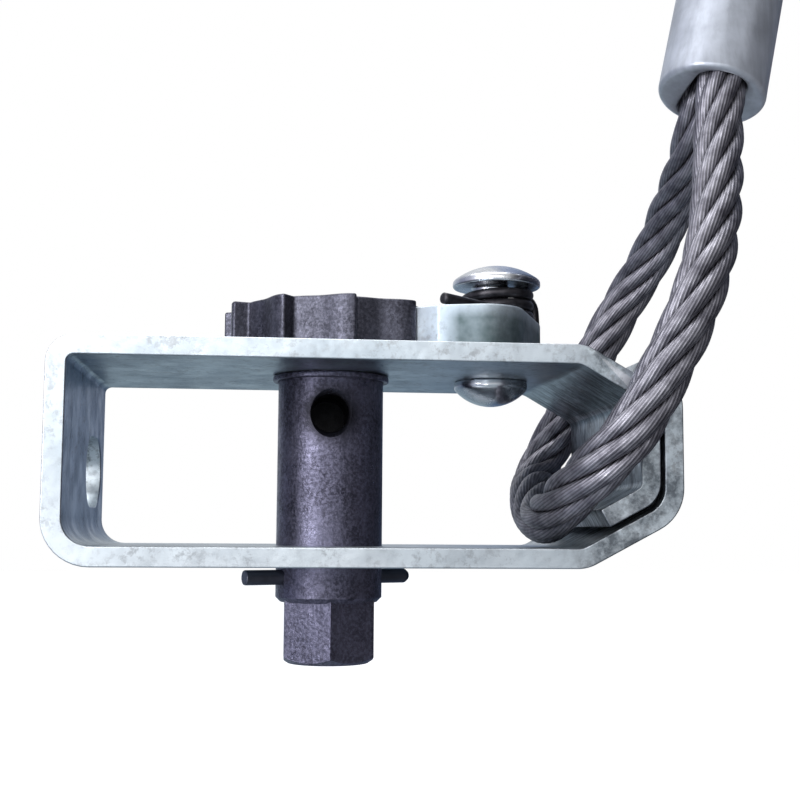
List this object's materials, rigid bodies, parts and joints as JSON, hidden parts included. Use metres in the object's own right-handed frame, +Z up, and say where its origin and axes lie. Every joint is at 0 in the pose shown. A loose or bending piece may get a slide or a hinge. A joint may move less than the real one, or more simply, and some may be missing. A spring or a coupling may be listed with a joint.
{
  "type": "come-along winch",
  "caption": "Come-along winch: bent steel strap carrying a winding shaft with ratchet wheel and sprung pawl, and a wire-rope sling held by a pressed ferrule.",
  "frame": {"origin": "middle of the wire slot, at the outer face of the strap's web", "axes": "+X from the wire slot towards the sling, +Y across the strap away from the pawl's nose, +Z up along the winding shaft towards the ratchet wheel"},
  "size_m": [0.1726, 0.0854, 0.2322],
  "materials": {
    "zinc_plate": "zinc plated, slightly mottled",
    "forged_steel": "dark forged and blued",
    "pin_steel": "dark, with a bright cut end",
    "bright_zinc": "smooth and shiny",
    "spring_steel": "black, satin",
    "wire_rope": "dark drawn wire",
    "ferrule_aluminium": "pressed, satin"
  },
  "bodies": {
    "frame": {"frame_strap": "zinc_plate", "pawl_rivet": "bright_zinc"},
    "drum": {"drum_shaft": "forged_steel", "ratchet_wheel": "forged_steel", "thrust_ring": "forged_steel", "cross_pin": "pin_steel"},
    "pawl": {"pawl": "zinc_plate", "pawl_spring": "spring_steel"},
    "sling": {"sling_rope": "wire_rope", "sling_ferrule": "ferrule_aluminium"}
  },
  "joints": [
    {"name": "drum_spin", "type": "hinge", "parent": "frame", "child": "drum", "pos_m": [0.0566, -0.0138, 0], "axis": [0, 0, 1], "range_deg": [-33, 0]},
    {"name": "pawl_pivot", "type": "hinge", "parent": "frame", "child": "pawl", "pos_m": [0.0931, -0.0088, 0], "axis": [0, 0, 1], "range_deg": [0, 10.5], "deforming": ["pawl_spring"]},
    {"name": "sling_swing", "type": "hinge", "parent": "frame", "child": "sling", "pos_m": [0.1146, -0.0138, 0.006], "axis": [0, 1, 0], "range_deg": [0, 55]}
  ],
  "couplings": [
    {"joint": "pawl_pivot", "follows": "drum_spin", "ratio": -0.31}
  ]
}
